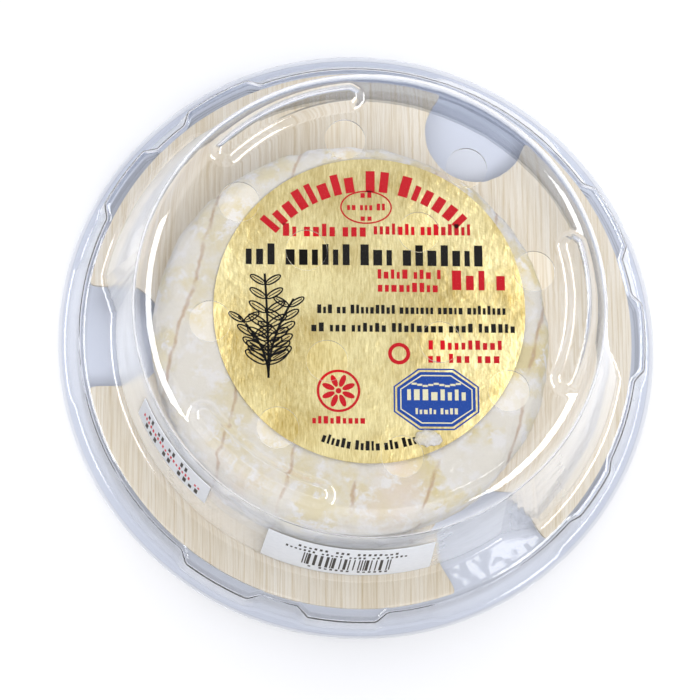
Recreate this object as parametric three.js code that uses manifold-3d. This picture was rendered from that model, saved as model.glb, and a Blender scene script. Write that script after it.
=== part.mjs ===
// Round soft-ripened goat cheese with a foil label, on a three-lobed wooden plate,
// shut in a clear two-piece pack: a raised base tray and a snap-on domed lid with vent holes.
// Millimetres, +Z up. The origin is on the table, on the pack's axis.
import * as THREE from "three";
import { mergeVertices } from "three/addons/utils/BufferGeometryUtils.js";
import Module from "manifold-3d";

const wasm = await Module();
wasm.setup();

// Clear sheet and clearances
const SHEET = 0.5;
const GAP = 0.3;
const TURN_SEGMENTS = 108;
const THIRDS = 3;

// Lid heights
const LIP_TOP = 1.3;
const SKIRT_TOP = 7.2;
const LEDGE = 8;
const FOOT = 9;
const LID_TOP = 41;

// Lid radii
const LIP_RADIUS = 63;
const SKIRT_LOW_RADIUS = 60.8;
const SKIRT_TOP_RADIUS = 58.5;
const LEDGE_OUT_RADIUS = 57.4;
const LEDGE_IN_RADIUS = 52;
const FOOT_RADIUS = 50.9;
const FLAT_RADIUS = 41.5;

// Rounded shoulder from the flat top's edge to the wall, and the wall's lean from upright
const SHOULDER_ROUND = 6;
const SHOULDER_STEPS = 4;
const WALL_LEAN = 7.2;

// Stacking ribs on the lid's flat top: three arcs with round ends
const RIB_HEIGHT = 1.8;
const RIB_RADIUS = 41.2;
const RIB_HALF_WIDTH = 3.7;
const RIB_SLOPE = 1.8;
const RIB_CENTRE = -4.5;
const RIB_HALF_SPAN = 19;
const RIB_RINGS = [40.2, 38.7, 37.2];

// Vent holes: an outer ring of eight and an inner ring of four
const VENT_RADIUS = 4.1;
const VENT_SEGMENTS = 24;
const VENT_DEPTH = 4;
const VENT_RINGS = [
  { count: 8, radius: 32.5, start: 9.5 },
  { count: 4, radius: 16, start: 55 },
];

// Snap lugs that repeat in each third, one pull tab, and two flared grips at the dome's foot
const LUGS = [
  { from: 112, to: 128 },
  { from: 138, to: 154 },
];
const LUG_REACH = 1.9;
const LUG_RAMP = 4;
const PANEL = { from: 45, to: 73 };
const PANEL_REACH = 0.7;
const TAB = { from: 319, to: 332 };
const TAB_REACH = 1;
const GRIP_CENTRES = [-29, 149];
const GRIP_HALF_SPAN = 23;
const GRIP_RAMP = 10;
const GRIP_REACH = 3.4;

// Base tray
const TRAY_TOP = 5;
const TRAY_BEND = 4.2;
const TRAY_LIP_RADIUS = 62.3;
const TRAY_WALL_LOW_RADIUS = 59;
const TRAY_WALL_TOP_RADIUS = 57.9;
const TRAY_EDGE_RADIUS = 57;
const TRAY_LUG_REACH = 1.1;
const BEAD = { outer: 30, inner: 24, slope: 1.4, depth: 1.6 };

// Wooden plate: a disc with three round-bottomed bites
const PLATE_RADIUS = 57.4;
const PLATE_THICKNESS = 1.2;
const BITE_RADIUS = 10.7;
const BITE_BOTTOM = 40.3;
const BITE_CORNER = 3;
const BITE_START = 60.6;
const PLATE_CURVE_SEGMENTS = 12;

// Cheese: a puck with soft edges that has slid towards the front of the dome
const CHEESE_CENTRE = { x: -3.5, y: -6.2 };
const CHEESE_RADIUS = 40.4;
const CHEESE_HEIGHT = 27.6;
const CHEESE_SEGMENTS = 72;
const CHEESE_EDGE = [
  { inset: 4.4, up: 0 },
  { inset: 1.9, up: 1 },
  { inset: 0.5, up: 4 },
  { inset: 0, up: 10 },
  { inset: 0, up: 18 },
  { inset: 0.4, up: 22.4 },
  { inset: 1.3, up: 25.3 },
  { inset: 2.9, up: 27 },
  { inset: 5.2, up: 27.6 },
];
const CHEESE_WAVES = [
  { lobes: 2, reach: 0.3, turn: 35 },
  { lobes: 3, reach: 0.2, turn: 100 },
  { lobes: 7, reach: 0.1, turn: 15 },
];

// Foil label on the cheese
const LABEL_CENTRE = { x: -0.2, y: -1.3 };
const LABEL_RADIUS = 31.1;
const LABEL_THICKNESS = 0.25;
const LABEL_SEGMENTS = 72;

// Paper stickers on the dome's wall
const STICKER_THICKNESS = 0.25;
const STICKER_STEPS = 12;
const STICKERS = [
  { name: "barcode_sticker", centre: -94.5, halfSpan: 19.9, low: 10.2, high: 28.2, colour: "#d9dce2" },
  { name: "date_sticker", centre: 216, halfSpan: 13.2, low: 19, high: 30.5, colour: "#e6eaf2" },
];

const FULL_TURN = 360;
const QUARTER_TURN = 90;
const MERGE_DISTANCE = 1e-4;
const radians = THREE.MathUtils.degToRad;
const degrees = THREE.MathUtils.radToDeg;
const smooth = THREE.MathUtils.smoothstep;

// Angle from one direction to another, between -180 and 180 degrees
function turnBetween(from, to) {
  return THREE.MathUtils.euclideanModulo(to - from + FULL_TURN / 2, FULL_TURN) - FULL_TURN / 2;
}

// 1 inside a span of directions and 0 outside, with a smooth ramp centred on each end
function insideSpan(angle, span, ramp) {
  const middle = (span.from + span.to) / 2;
  const past = Math.abs(turnBetween(middle, angle)) - (span.to - span.from) / 2;
  return 1 - smooth(past, -ramp / 2, ramp / 2);
}

// One direction for each copy of what repeats round the pack
function evenTurns(start, count) {
  return [...Array(count).keys()].map((k) => start + (k * FULL_TURN) / count);
}

// The same span found in whichever third of the pack the direction lies
function insideEachThird(angle, span, ramp) {
  const copies = evenTurns(0, THIRDS).map((turn) => ({ from: span.from + turn, to: span.to + turn }));
  return Math.max(...copies.map((copy) => insideSpan(angle, copy, ramp)));
}

function lugShare(angle) {
  return Math.max(...LUGS.map((lug) => insideEachThird(angle, lug, LUG_RAMP)));
}

function gripShare(angle) {
  const spans = GRIP_CENTRES.map((c) => ({ from: c - GRIP_HALF_SPAN, to: c + GRIP_HALF_SPAN }));
  return Math.max(...spans.map((span) => insideSpan(angle, span, GRIP_RAMP)));
}

// Height that a stacking rib adds at a place on the lid's flat top
function ribRise(radius, angle) {
  const offsets = evenTurns(RIB_CENTRE, THIRDS).map((centre) => Math.abs(turnBetween(centre, angle)));
  const pastEnd = radians(Math.max(Math.min(...offsets) - RIB_HALF_SPAN, 0)) * RIB_RADIUS;
  const away = Math.hypot(radius - RIB_RADIUS, pastEnd);
  return RIB_HEIGHT * THREE.MathUtils.clamp((RIB_HALF_WIDTH - away) / RIB_SLOPE, 0, 1);
}

// Moves a profile that runs from a rim to the axis inward by the sheet's thickness
function sheetUnderside(top) {
  return top.map((point, i) => {
    const before = top[Math.max(i - 1, 0)];
    const after = top[Math.min(i + 1, top.length - 1)];
    const leg = (a, b) => new THREE.Vector2(b.z - a.z, a.r - b.r).normalize();
    const first = i > 0 ? leg(before, point) : leg(point, after);
    const second = i < top.length - 1 ? leg(point, after) : first;
    const normal = first.clone().add(second).normalize();
    const step = SHEET / normal.dot(first);
    return { ...point, r: point.r === 0 ? 0 : point.r - normal.x * step, z: point.z - normal.y * step };
  });
}

// Turns a profile round the Z axis and lets a function move each point by its direction
function turned(profile, segments, place) {
  const points = profile.map((p) => new THREE.Vector2(p.r, p.z));
  const geometry = new THREE.LatheGeometry(points, segments).rotateX(Math.PI / 2);
  const position = geometry.attributes.position;
  for (let i = 0; i < position.count; i += 1) {
    const point = profile[i % profile.length];
    const angle = degrees(Math.atan2(position.getY(i), position.getX(i)));
    if (point.r > 0) {
      const moved = place(point, angle);
      position.setXYZ(i, moved.r * Math.cos(radians(angle)), moved.r * Math.sin(radians(angle)), moved.z);
    }
  }
  return geometry;
}

// A closed mesh with shared corners, as a solid that can be cut
function solidOf(geometry) {
  const bare = geometry.clone();
  bare.deleteAttribute("normal");
  bare.deleteAttribute("uv");
  const merged = mergeVertices(bare, MERGE_DISTANCE);
  const faces = [];
  for (let i = 0; i < merged.index.count; i += 3) {
    const [a, b, c] = [0, 1, 2].map((k) => merged.index.getX(i + k));
    if (a !== b && b !== c && c !== a) faces.push(a, b, c);
  }
  return new wasm.Manifold(
    new wasm.Mesh({
      numProp: 3,
      vertProperties: new Float32Array(merged.attributes.position.array),
      triVerts: new Uint32Array(faces),
    }),
  );
}

function geometryOf(solid) {
  const mesh = solid.getMesh();
  const geometry = new THREE.BufferGeometry();
  geometry.setAttribute("position", new THREE.BufferAttribute(new Float32Array(mesh.vertProperties), 3));
  geometry.setIndex(new THREE.BufferAttribute(new Uint32Array(mesh.triVerts), 1));
  geometry.computeVertexNormals();
  return geometry;
}

function named(name, geometry, look) {
  const mesh = new THREE.Mesh(geometry, new THREE.MeshStandardMaterial(look));
  mesh.name = name;
  return mesh;
}

// Arc from the top of the dome's wall to the edge of the flat top
function shoulderRings() {
  return [...Array(SHOULDER_STEPS + 1).keys()].map((k) => {
    const tilt = radians(((QUARTER_TURN - WALL_LEAN) * (SHOULDER_STEPS - k)) / SHOULDER_STEPS);
    const r = FLAT_RADIUS + SHOULDER_ROUND * Math.sin(tilt);
    return { r, z: LID_TOP - SHOULDER_ROUND * (1 - Math.cos(tilt)), rib: 1 };
  });
}

// Top surface of the lid from its lip to the axis. The shares say what each corner does at a lug,
// a flat panel of the skirt, the pull tab or a flared grip.
function lidProfile() {
  return [
    { r: LIP_RADIUS, z: LIP_TOP },
    { r: SKIRT_LOW_RADIUS, z: LIP_TOP, lug: 0.3, panel: 1 },
    { r: SKIRT_TOP_RADIUS, z: SKIRT_TOP, lug: 1, tab: 1 },
    { r: LEDGE_OUT_RADIUS, z: LEDGE, lug: 1, tab: 1 },
    { r: LEDGE_IN_RADIUS, z: LEDGE, grip: 1 },
    { r: FOOT_RADIUS, z: FOOT, grip: 1 },
    ...shoulderRings(),
    ...RIB_RINGS.map((r) => ({ r, z: LID_TOP, rib: 1 })),
    { r: 0, z: LID_TOP },
  ];
}

function lidPlace(point, angle) {
  const out =
    (point.lug ?? 0) * LUG_REACH * lugShare(angle) +
    (point.panel ?? 0) * PANEL_REACH * insideEachThird(angle, PANEL, LUG_RAMP) +
    (point.tab ?? 0) * TAB_REACH * insideSpan(angle, TAB, LUG_RAMP) +
    (point.grip ?? 0) * GRIP_REACH * gripShare(angle);
  const up = point.rib ? ribRise(point.r, angle) : 0;
  return { r: point.r + out, z: point.z + up };
}

function ventCutters() {
  const cutter = new THREE.CylinderGeometry(VENT_RADIUS, VENT_RADIUS, VENT_DEPTH, VENT_SEGMENTS);
  cutter.rotateX(Math.PI / 2);
  return VENT_RINGS.flatMap((ring) =>
    evenTurns(ring.start, ring.count).map((turn) => {
      const vent = cutter.clone().translate(ring.radius, 0, LID_TOP);
      return solidOf(vent.rotateZ(radians(turn)));
    }),
  );
}

function lidGeometry() {
  const top = lidProfile();
  const shell = turned([...sheetUnderside(top).reverse(), ...top], TURN_SEGMENTS, lidPlace);
  return geometryOf(ventCutters().reduce((solid, vent) => solid.subtract(vent), solidOf(shell)));
}

// Raised platform with an outward lip that stands on the table and a pressed stiffening bead
function trayGeometry() {
  const top = [
    { r: TRAY_LIP_RADIUS, z: SHEET },
    { r: TRAY_WALL_LOW_RADIUS, z: SHEET, lug: 1 },
    { r: TRAY_WALL_TOP_RADIUS, z: TRAY_BEND, lug: 1 },
    { r: TRAY_EDGE_RADIUS, z: TRAY_TOP },
    { r: BEAD.outer, z: TRAY_TOP },
    { r: BEAD.outer - BEAD.slope, z: TRAY_TOP - BEAD.depth },
    { r: BEAD.inner + BEAD.slope, z: TRAY_TOP - BEAD.depth },
    { r: BEAD.inner, z: TRAY_TOP },
    { r: 0, z: TRAY_TOP },
  ];
  const place = (point, angle) => {
    const out = (point.lug ?? 0) * TRAY_LUG_REACH * lugShare(angle);
    return { r: point.r + out, z: point.z };
  };
  return geometryOf(solidOf(turned([...sheetUnderside(top).reverse(), ...top], TURN_SEGMENTS, place)));
}

// Outline of the plate: arcs of the disc, a small round at each corner, and the bites
function plateGeometry() {
  const cornerAside = BITE_RADIUS + BITE_CORNER;
  const cornerOut = Math.sqrt((PLATE_RADIUS - BITE_CORNER) ** 2 - cornerAside ** 2);
  const cornerTurn = Math.atan2(cornerAside, cornerOut);
  const quarter = Math.PI / 2;
  const outline = new THREE.Shape();
  for (const bite of evenTurns(BITE_START, THIRDS)) {
    const turn = radians(bite);
    const arc = (out, aside, radius, from, to, clockwise) => {
      const centre = new THREE.Vector2(out, aside).rotateAround(new THREE.Vector2(), turn);
      outline.absarc(centre.x, centre.y, radius, turn + from, turn + to, clockwise);
    };
    arc(cornerOut, -cornerAside, BITE_CORNER, -cornerTurn, quarter, false);
    arc(BITE_BOTTOM + BITE_RADIUS, 0, BITE_RADIUS, -quarter, quarter, true);
    arc(cornerOut, cornerAside, BITE_CORNER, -quarter, cornerTurn, false);
    arc(0, 0, PLATE_RADIUS, cornerTurn, radians(FULL_TURN / THIRDS) - cornerTurn, false);
  }
  const plate = { depth: PLATE_THICKNESS, bevelEnabled: false, curveSegments: PLATE_CURVE_SEGMENTS };
  return geometryOf(solidOf(new THREE.ExtrudeGeometry(outline, plate)));
}

function cheeseGeometry() {
  const edge = CHEESE_EDGE.map((e) => ({ r: CHEESE_RADIUS - e.inset, z: e.up }));
  const profile = [{ r: 0, z: 0 }, ...edge, { r: 0, z: CHEESE_HEIGHT }];
  const wave = (angle) =>
    CHEESE_WAVES.reduce((sum, w) => sum + w.reach * Math.sin(w.lobes * radians(angle + w.turn)), 0);
  const place = (point, angle) => ({ r: point.r + wave(angle), z: point.z });
  return geometryOf(solidOf(turned(profile, CHEESE_SEGMENTS, place)));
}

// Outer radius of the dome's wall at a height
function wallRadius(z) {
  return FOOT_RADIUS - (z - FOOT) * Math.tan(radians(WALL_LEAN));
}

// A sheet of paper bent round the dome's wall
function stickerGeometry(sticker) {
  const height = sticker.high - sticker.low;
  const box = new THREE.BoxGeometry(2 * sticker.halfSpan, STICKER_THICKNESS, height, STICKER_STEPS);
  const position = box.attributes.position;
  const middle = (sticker.high + sticker.low) / 2;
  for (let i = 0; i < position.count; i += 1) {
    const z = middle + position.getZ(i);
    const angle = radians(sticker.centre + position.getX(i));
    const radius = wallRadius(z) + GAP + STICKER_THICKNESS / 2 - position.getY(i);
    position.setXYZ(i, radius * Math.cos(angle), radius * Math.sin(angle), z);
  }
  return geometryOf(solidOf(box));
}

const clearSheet = { color: "#dfe5f0", roughness: 0.08, metalness: 0, transparent: true, opacity: 0.35 };
const pack = new THREE.Group();

const tray = named("base_tray", trayGeometry(), clearSheet);
pack.add(tray);

const plate = named("wood_plate", plateGeometry(), { color: "#e9dfc9", roughness: 0.7, metalness: 0 });
plate.position.z = TRAY_TOP + GAP;
pack.add(plate);

const cheese = named("cheese", cheeseGeometry(), { color: "#e6e3dd", roughness: 0.85, metalness: 0 });
cheese.position.set(CHEESE_CENTRE.x, CHEESE_CENTRE.y, plate.position.z + PLATE_THICKNESS + GAP);
pack.add(cheese);

const foil = new THREE.CylinderGeometry(LABEL_RADIUS, LABEL_RADIUS, LABEL_THICKNESS, LABEL_SEGMENTS);
const goldFoil = { color: "#d8c46c", roughness: 0.3, metalness: 0.9 };
const label = named("gold_label", geometryOf(solidOf(foil)), goldFoil);
label.rotation.x = Math.PI / 2;
const labelHeight = cheese.position.z + CHEESE_HEIGHT + GAP + LABEL_THICKNESS / 2;
label.position.set(LABEL_CENTRE.x, LABEL_CENTRE.y, labelHeight);
pack.add(label);

pack.add(named("lid", lidGeometry(), clearSheet));

for (const sticker of STICKERS) {
  const paper = { color: sticker.colour, roughness: 0.6, metalness: 0 };
  pack.add(named(sticker.name, stickerGeometry(sticker), paper));
}

export default pack;
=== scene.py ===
"""Round soft-ripened goat cheese with a foil label, on a lobed wooden plate, in a clear domed pack."""

import math
import random

import bmesh
import bpy
from bpy.props import FloatProperty, FloatVectorProperty, IntProperty, PointerProperty
from mathutils import Matrix, Vector


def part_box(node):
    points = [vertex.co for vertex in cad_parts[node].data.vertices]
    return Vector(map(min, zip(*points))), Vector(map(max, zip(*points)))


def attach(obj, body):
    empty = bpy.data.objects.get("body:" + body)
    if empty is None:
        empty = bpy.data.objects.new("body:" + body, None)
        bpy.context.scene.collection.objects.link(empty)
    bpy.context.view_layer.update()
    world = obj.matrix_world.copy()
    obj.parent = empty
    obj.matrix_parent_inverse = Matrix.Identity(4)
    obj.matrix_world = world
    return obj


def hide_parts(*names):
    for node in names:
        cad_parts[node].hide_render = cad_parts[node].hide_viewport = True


bl_info = {
    "name": "Domed cheese pack",
    "version": (1, 0, 0),
    "blender": (4, 5, 0),
    "location": "3D View > Sidebar > Cheese pack",
    "description": "Models a round goat cheese on a wooden plate in a clear domed pack",
    "category": "Object",
}

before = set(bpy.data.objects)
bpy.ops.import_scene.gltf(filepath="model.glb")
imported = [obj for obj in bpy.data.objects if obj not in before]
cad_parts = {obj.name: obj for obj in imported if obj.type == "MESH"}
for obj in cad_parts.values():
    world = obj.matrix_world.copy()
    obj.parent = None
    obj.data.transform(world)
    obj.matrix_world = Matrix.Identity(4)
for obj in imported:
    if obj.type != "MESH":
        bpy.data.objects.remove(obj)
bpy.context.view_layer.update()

MM = 0.001
FULL_TURN = 360
THIRDS = 3

# Where a lug, a flat panel, the pull tab or a flared grip pushes rings of the lid and tray outward, in
# degrees, and how far, in millimetres
LUGS = ((112, 128), (138, 154))
LUG_REACH = 1.9
LUG_REACH_BELOW = 0.3 * LUG_REACH
LUG_RAMP = 3.4
PANEL = (45, 73)
PANEL_REACH = 0.7
TAB = (319, 332)
TAB_REACH = 1.0
GRIPS = ((-52, -6), (126, 172))
GRIP_REACH = 3.4
GRIP_RAMP = 10
TRAY_LUG_REACH = 1.1
PUSH_STEPS = 8

# Rings at one height are told apart by these radii, and corners by these tolerances
LIP_SPLIT = 62.2
LEDGE_SPLIT = 56.5
TRAY_LIP_SPLIT = 61
PLATFORM_SPLIT = 50
SAME_RING = 0.05
NEARBY = 0.1

# How round a bend in the sheet is
SOFT_BEND = 0.5
BEND = 0.4
SHARP_BEND = 0.3

# Stiffening bead in the tray's platform
BEAD_OUTER = 30
BEAD_INNER = 24
BEAD_SLOPE = 1.4
BEAD_DEPTH = 1.6
PLATFORM_FILL = 20

# Stacking ribs: three arcs on the lid's flat top
RIB_RADIUS = 41.2
RIB_CENTRE = -4.5
RIB_HALF_SPAN = 19
RIB_CREST = 1.3
RIB_FLANK = 2.3
RIB_RINGS = 20
SHOULDER_STEPS = 22
RIB_INNER_RADIUS = 36.8

# Vent holes: (how many, ring radius, first direction)
VENTS = ((8, 32.5, 9.5), (4, 16.0, 55.0))
PUNCH_DEPTH = 4

# Bites in the wooden plate: direction of the first one, how many radii its punch is stretched
# outward, and the rounding of its horns
BITE_START = 60.6
BITE_STRETCH = 3
HORN_ROUND = 2.4
HORN_SLACK = 0.35
EDGE_WEAR = 0.12

# Rind: grain of its mesh, (name, size, reach) of each relief, (half width, depth) of each pressing of
# a rack mark, and how the rack lay under the cheese
CURD_GRAIN = 0.62
RIND_RELIEF = (("Lumps", 16, 1.1), ("Hollows", 4.5, 0.75), ("Fuzz", 1.5, 0.22))
RACK_PRESSES = ((1.3, 0.12), (0.75, 0.14))
RACK_TURN = 14.5
RACK_OFFSET = 6.4
RACK_SWAY = 3.4

# Rounding of the foil label's edge
LABEL_EDGE = 0.08

# The fleck of rind on the label, and the (size, reach) of its crumbs
FLECK_PLACE = (11.2, -27.4, 0.15)
FLECK_SHAPE = (2.6, 1.7, 0.5)
FLECK_CRUMBS = ((1.6, 1.3), (0.5, 0.3))

# Print on the foil: its thickness, its gaps and the places of its drawn shapes from the label's centre
PRINT_THICK = 0.05
LETTER_GAP = 0.34
WORD_GAP = 0.5
STAMP = (-0.6, 21.0)
BADGE = (13.0, -18.2)
ROSETTE = (-6.4, -16.6)
ROSETTE_WIDE = 8.6
SPRIG = (-20.2, -14.0)
SPRIG_LINE = 0.32
STEM_STEPS = 16
STEM_REACH = 12

# Stickers on the dome's wall: directions of their middles, and how thick their paper and ink are
BARCODE_MIDDLE = -94.5
DATE_MIDDLE = 216.0
STICKER_LIFT = 0.1
STICKER_THICK = 0.2
STICKER_INK = 0.04

# Direction of the ceiling that the lid's flat top mirrors to the camera; it is left dark
DARK_CEILING = (0.072, 0.22, 0.973)


def evenly(start, count):
    """One direction for each copy of what repeats round the pack."""
    return [start + k * FULL_TURN / count for k in range(count)]


def turn_between(one, other):
    """Angle from one direction to another, from -180 to 180 degrees."""
    return (other - one + FULL_TURN / 2) % FULL_TURN - FULL_TURN / 2


def smooth_step(value, low, high):
    share = min(max((value - low) / (high - low), 0.0), 1.0)
    return share * share * (3 - 2 * share)


def inside_span(direction, span, ramp):
    """1 inside a span of directions and 0 outside, with a smooth ramp centred on each end."""
    middle, half = (span[0] + span[1]) / 2, (span[1] - span[0]) / 2
    past = abs(turn_between(middle, direction)) - half
    return 1 - smooth_step(past, -ramp / 2, ramp / 2)


def inside_each_third(direction, span, ramp):
    """The same span, found in whichever third of the pack the direction lies."""
    return max(inside_span(direction - turn, span, ramp) for turn in evenly(0, THIRDS))


def lug_share(direction):
    return max(inside_each_third(direction, lug, LUG_RAMP) for lug in LUGS)


def panel_share(direction):
    return inside_each_third(direction, PANEL, LUG_RAMP)


def tab_share(direction):
    return inside_span(direction, TAB, LUG_RAMP)


def grip_share(direction):
    return max(inside_span(direction, grip, GRIP_RAMP) for grip in GRIPS)


def linear(code):
    """A linear colour from an sRGB hex value."""
    parts = [int(code[i : i + 2], 16) / 255 for i in (1, 3, 5)]
    return tuple(p / 12.92 if p <= 0.04045 else ((p + 0.055) / 1.055) ** 2.4 for p in parts)


def length(text, millimetres, note):
    return FloatProperty(name=text, description=note, default=millimetres * MM, unit="LENGTH", precision=4)


def colour(text, code, note):
    return FloatVectorProperty(
        name=text, description=note, default=linear(code), subtype="COLOR", size=3, min=0, max=1
    )


class PackSizes(bpy.types.PropertyGroup):
    """Sizes of the clear lid and tray"""

    sheet: length("Sheet", 0.5, "Thickness of the clear sheet")
    lip: length("Lip radius", 63, "Outer edge of the lid")
    lip_top: length("Lip height", 1.3, "Top of the lid's lip")
    skirt_low: length("Skirt radius below", 60.8, "Skirt where it meets the lip")
    skirt_high: length("Skirt radius above", 58.5, "Skirt where it meets the ledge")
    skirt_top: length("Skirt height", 7.2, "Top of the skirt")
    ledge: length("Ledge height", 8, "Ring between skirt and dome")
    ledge_out: length("Ledge outer radius", 57.4, "Outer edge of the ledge")
    ledge_in: length("Ledge inner radius", 52, "Inner edge of the ledge")
    foot: length("Foot radius", 50.9, "Dome where it stands on the ledge")
    foot_top: length("Foot height", 9, "Where the dome's wall starts")
    wall_lean: FloatProperty(
        name="Wall lean",
        description="Dome's wall, from upright",
        default=math.radians(7.2),
        subtype="ANGLE",
    )
    shoulder: length("Shoulder rounding", 6, "Radius of the rounded shoulder")
    flat: length("Flat radius", 41.5, "Edge of the flat top")
    flat_top: length("Lid height", 41, "Flat top without its ribs")
    rib: length("Rib height", 1.75, "How far a stacking rib stands up")
    vent: length("Vent radius", 4.1, "Radius of a vent hole")
    tray_lip: length("Tray lip radius", 62.3, "Outer edge of the tray")
    tray_wall_low: length("Tray wall below", 59, "Tray's wall where it meets the lip")
    tray_wall_high: length("Tray wall above", 57.9, "Tray's wall below its edge")
    tray_edge: length("Tray edge radius", 57, "Edge of the raised platform")
    tray_bend: length("Tray bend", 4.2, "Height where the wall turns in")
    tray_top: length("Tray height", 5, "Top of the raised platform")
    around: IntProperty(name="Steps round", description="Corners in each ring", default=600, min=96)


class CheeseSizes(bpy.types.PropertyGroup):
    """Sizes of the cheese, its plate and its label"""

    radius: length("Cheese radius", 40.2, "Widest part of the cheese")
    height: length("Cheese height", 27.6, "Thickness of the cheese")
    top_round: length("Top edge", 4.8, "How far the top edge rounds in")
    foot_round: length("Bottom edge", 2.8, "How far the bottom edge rounds in")
    mark_gap: length("Rack mark spacing", 13.9, "Distance between the lines left by the draining rack")
    plate: length("Plate radius", 57.4, "Outer edge of the wooden plate")
    plate_thick: length("Plate thickness", 1.2, "Thickness of the wooden plate")
    bite: length("Bite radius", 10.7, "Round bottom of each bite in the plate")
    bite_bottom: length("Bite depth", 40.3, "Distance from the axis to a bite's bottom")
    label: length("Label radius", 31.1, "Edge of the foil label")


class PackColours(bpy.types.PropertyGroup):
    """Colours of the pack's materials"""

    sheet: colour("Clear sheet", "#f8f9fc", "Tint of the clear sheet")
    rind: colour("Rind", "#ebe3d3", "White mould")
    cream: colour("Cream", "#e3d2a0", "Patches where the mould is thin")
    blush: colour("Blush", "#e8d8c8", "Faint warm patches")
    mark: colour("Rack mark", "#bb9472", "Lines left by the draining rack")
    wood: colour("Wood", "#f9f0df", "Pale poplar")
    grain: colour("Grain", "#d8c39c", "Darker fibres of the wood")
    foil: colour("Foil", "#f8e8aa", "Gold foil")
    # Painted shade: a darker gold that stands in for the shaded streaks the foil mirrors
    foil_painted_shade: colour("Foil in shade", "#bda155", "Darker streaks of the gold foil")
    red: colour("Red ink", "#cc1420", "Red print")
    blue: colour("Blue ink", "#234a9c", "Blue print")
    black: colour("Black ink", "#14110d", "Black print")
    paper: colour("Paper", "#eceef2", "Stickers")


def pack_sizes():
    return bpy.context.scene.pack_sizes


def cheese_sizes():
    return bpy.context.scene.cheese_sizes


def colours():
    return bpy.context.scene.pack_colours


def clear_choice():
    """Leaves no object selected, because an operator acts on all that is."""
    bpy.ops.object.select_all(action="DESELECT")


def choose(piece):
    clear_choice()
    piece.select_set(True)
    bpy.context.view_layer.objects.active = piece


def place_of(point):
    """Radius in millimetres, direction in degrees and height in millimetres."""
    return math.hypot(point.x, point.y) / MM, math.degrees(math.atan2(point.y, point.x)), point.z / MM


def pick(rule):
    """Selects, in the mesh being edited, just the corners whose point fits a rule."""
    data = bpy.context.object.data
    mesh = bmesh.from_edit_mesh(data)
    for part in (*mesh.faces, *mesh.edges, *mesh.verts):
        part.select = False
    for corner in mesh.verts:
        corner.select = rule(corner.co)
    mesh.select_flush(True)
    bmesh.update_edit_mesh(data)


def start_ring(name, radius, height, around):
    """Starts a mesh, in edit mode, as one ring of corners round the axis."""
    clear_choice()
    bpy.ops.mesh.primitive_circle_add(
        vertices=around, radius=radius, fill_type="NOTHING", enter_editmode=True
    )
    bpy.ops.transform.translate(value=(0, 0, height))
    bpy.context.object.name = name
    return bpy.context.object


def add_ring(before, radius, rise):
    """Draws the selected ring out to the next one."""
    bpy.ops.mesh.extrude_region_move(TRANSFORM_OT_translate={"value": (0, 0, rise)})
    share = radius / before
    bpy.ops.transform.resize(value=(share, share, 1), center_override=(0, 0, 0))


def draw_rings(name, rings, around):
    """A surface drawn ring by ring from (radius, height) pairs, and filled inside its last ring."""
    piece = start_ring(name, *rings[0], around)
    for (before, below), (radius, above) in zip(rings, rings[1:]):
        add_ring(before, radius, above - below)
    bpy.ops.mesh.edge_face_add()
    bpy.ops.mesh.select_all(action="SELECT")
    bpy.ops.mesh.normals_make_consistent(inside=False)
    return piece


def ring_at(height, inside=0.0, outside=math.inf):
    """A rule for the ring of corners at one height, between two radii in millimetres."""
    return lambda r, turn, z: abs(z - height / MM) < SAME_RING and inside < r < outside


def push_out(reach, share, ring):
    """Moves one ring outward by a share of a reach that depends on the direction, in nested steps."""
    step = reach * MM / PUSH_STEPS
    for level in range(PUSH_STEPS):
        least = (level + 0.5) / PUSH_STEPS
        pick(lambda co: ring(*place_of(co)) and share(place_of(co)[1]) > least)
        grown = 1 + step / ring_radius(ring)
        bpy.ops.transform.resize(value=(grown, grown, 1), center_override=(0, 0, 0))


def ring_radius(ring):
    """Radius of the widest corner on a ring, in metres."""
    mesh = bmesh.from_edit_mesh(bpy.context.object.data)
    return max(place_of(c.co)[0] for c in mesh.verts if ring(*place_of(c.co))) * MM


def round_ring(ring, width, steps=3):
    """Rounds the corner that runs along one ring."""
    pick(lambda co: ring(*place_of(co)))
    bpy.ops.mesh.bevel(offset=width * MM, segments=steps, profile=0.5, affect="EDGES", clamp_overlap=True)


def leave_edit():
    bpy.ops.object.mode_set(mode="OBJECT")


def apply_modifier(piece, name, kind, **settings):
    """Adds a modifier with its settings and applies it."""
    modifier = piece.modifiers.new(name, kind)
    for key, value in settings.items():
        setattr(modifier, key, value)
    choose(piece)
    bpy.ops.object.modifier_apply(modifier=name)


def apply_place(piece):
    choose(piece)
    bpy.ops.object.transform_apply(location=True, rotation=True, scale=True)


def copies_of(piece, name, places):
    """Copies a flat or wrapped shape to each (x, y, turn, width, height) place, and joins the copies."""
    made = []
    for x, y, turn, wide, high in places:
        copy = bpy.data.objects.new(name, piece.data.copy())
        bpy.context.scene.collection.objects.link(copy)
        copy.location = (x * MM, y * MM, 0)
        copy.rotation_euler = (0, 0, math.radians(turn))
        copy.scale = (wide, high, 1)
        made.append(copy)
    bpy.data.objects.remove(piece)
    return join(made, name)


def join(pieces, name):
    """Joins pieces into one mesh that lies where they lay."""
    clear_choice()
    for piece in pieces:
        piece.select_set(True)
    bpy.context.view_layer.objects.active = pieces[0]
    bpy.ops.object.transform_apply(location=True, rotation=True, scale=True)
    if len(pieces) > 1:
        bpy.ops.object.join()
    pieces[0].name = name
    return pieces[0]


def smooth_faces(piece, angle):
    choose(piece)
    bpy.ops.object.shade_smooth_by_angle(angle=math.radians(angle))


def flatten_shading(piece):
    """Lets the wide faces set the normals, so that flat sheet mirrors flat and only its bends curve."""
    apply_modifier(piece, "Flats", "WEIGHTED_NORMAL", mode="FACE_AREA", weight=60, keep_sharp=True)


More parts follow.
